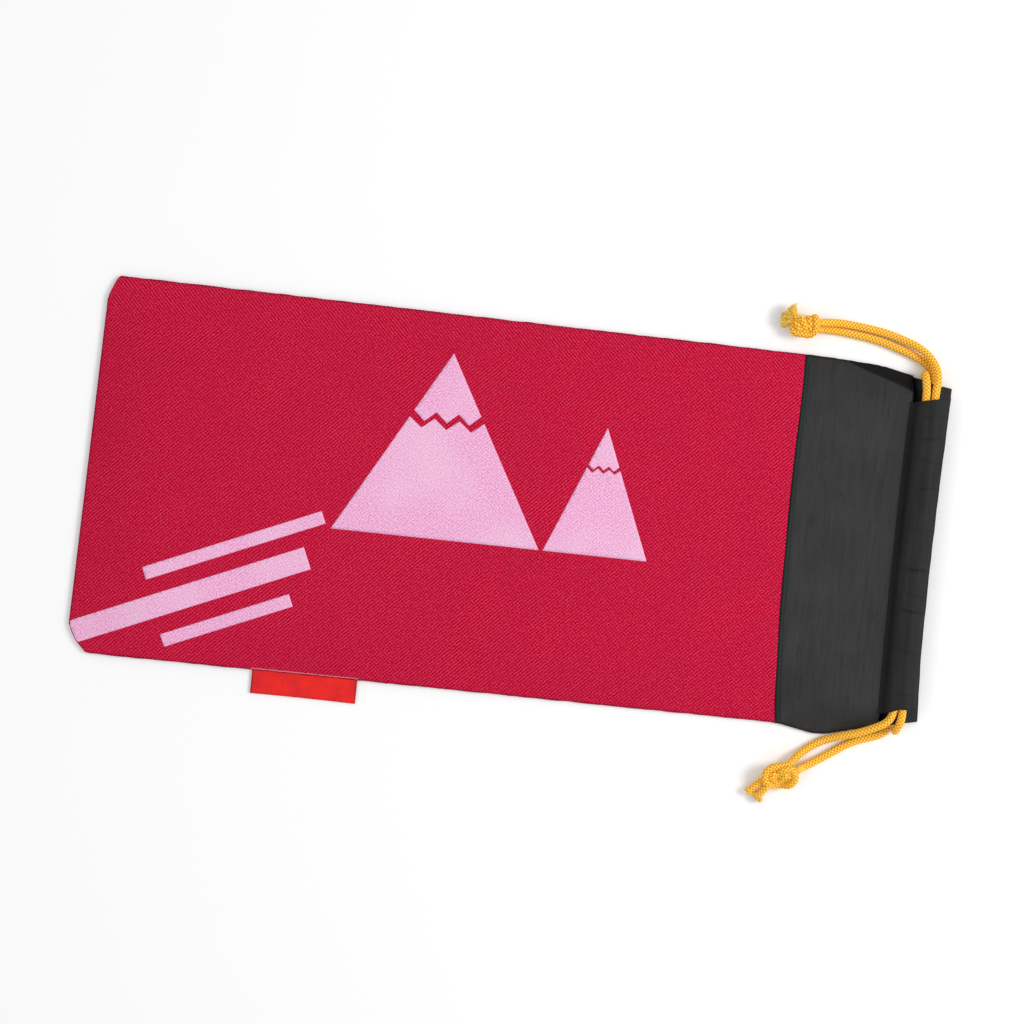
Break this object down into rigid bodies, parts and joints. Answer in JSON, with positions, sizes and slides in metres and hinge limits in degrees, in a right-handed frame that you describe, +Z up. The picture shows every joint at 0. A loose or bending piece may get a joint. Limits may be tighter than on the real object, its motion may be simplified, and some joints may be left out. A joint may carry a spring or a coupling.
{
  "type": "drawstring storage pouch",
  "caption": "Flat drawstring pouch for storing climbing skins, with a black mouth collar, braided drawcords knotted at both sides and a folded side label.",
  "frame": {"origin": "centre of the pouch's footprint on the surface it lies on, its free cord tails left out", "axes": "+X along the pouch towards the mouth, +Y across the pouch to the side without the label, +Z up out of the printed front"},
  "size_m": [0.427, 0.2509, 0.0154],
  "materials": {
    "crimson_oxford": "woven matte",
    "black_taffeta": "smooth satin weave",
    "casing_fabric": "smooth satin weave",
    "seam_binding": "overlocked edge",
    "black_thread": "twisted thread",
    "woven_label": "satin woven",
    "yellow_cord": "braided"
  },
  "bodies": {
    "root": {"back_panel": "crimson_oxford", "front_panel": "crimson_oxford", "back_collar": "black_taffeta", "front_collar": "black_taffeta", "back_casing": "casing_fabric", "upper_side_seam": "seam_binding", "lower_side_seam": "seam_binding", "bottom_seam": "seam_binding", "front_collar_seam": "seam_binding", "back_collar_seam": "seam_binding", "front_collar_topstitch": "black_thread", "back_collar_topstitch": "black_thread", "front_casing_stitch": "black_thread", "back_casing_stitch": "black_thread", "upper_cord_bight": "yellow_cord", "lower_cord_bight": "yellow_cord"},
    "front_lip": {"front_casing": "casing_fabric"},
    "label": {"side_label": "woven_label"},
    "upper_cord": {"upper_cord_back_run": "yellow_cord", "upper_cord_tail_front": "yellow_cord", "upper_cord_tail_back": "yellow_cord", "upper_cord_knot": "yellow_cord", "upper_cord_end_1": "yellow_cord", "upper_cord_end_2": "yellow_cord"},
    "upper_cord_front": {"upper_cord_front_run": "yellow_cord"},
    "lower_cord": {"lower_cord_back_run": "yellow_cord", "lower_cord_tail_front": "yellow_cord", "lower_cord_tail_back": "yellow_cord", "lower_cord_knot": "yellow_cord", "lower_cord_end_1": "yellow_cord", "lower_cord_end_2": "yellow_cord"},
    "lower_cord_front": {"lower_cord_front_run": "yellow_cord"}
  },
  "joints": [
    {"name": "mouth_opening", "type": "hinge", "parent": "root", "child": "front_lip", "pos_m": [0.1937, 0, 0.01035], "axis": [0, -1, 0], "range_deg": [0, 60]},
    {"name": "label_flip", "type": "hinge", "parent": "root", "child": "label", "pos_m": [-0.09365, -0.0886, 0.0015], "axis": [-1, 0, 0], "range_deg": [0, 140]},
    {"name": "upper_cord_pull", "type": "slide", "parent": "root", "child": "upper_cord", "axis": [0, 1, 0], "range_m": [0, 0.06]},
    {"name": "upper_cord_lift", "type": "hinge", "parent": "upper_cord", "child": "upper_cord_front", "pos_m": [0.1937, 0, 0.01035], "axis": [0, -1, 0], "range_deg": [0, 60]},
    {"name": "lower_cord_pull", "type": "slide", "parent": "root", "child": "lower_cord", "axis": [0, -1, 0], "range_m": [0, 0.06]},
    {"name": "lower_cord_lift", "type": "hinge", "parent": "lower_cord", "child": "lower_cord_front", "pos_m": [0.1937, 0, 0.01035], "axis": [0, -1, 0], "range_deg": [0, 60]}
  ],
  "couplings": [
    {"joint": "upper_cord_lift", "follows": "mouth_opening", "ratio": 1},
    {"joint": "lower_cord_lift", "follows": "mouth_opening", "ratio": 1}
  ]
}
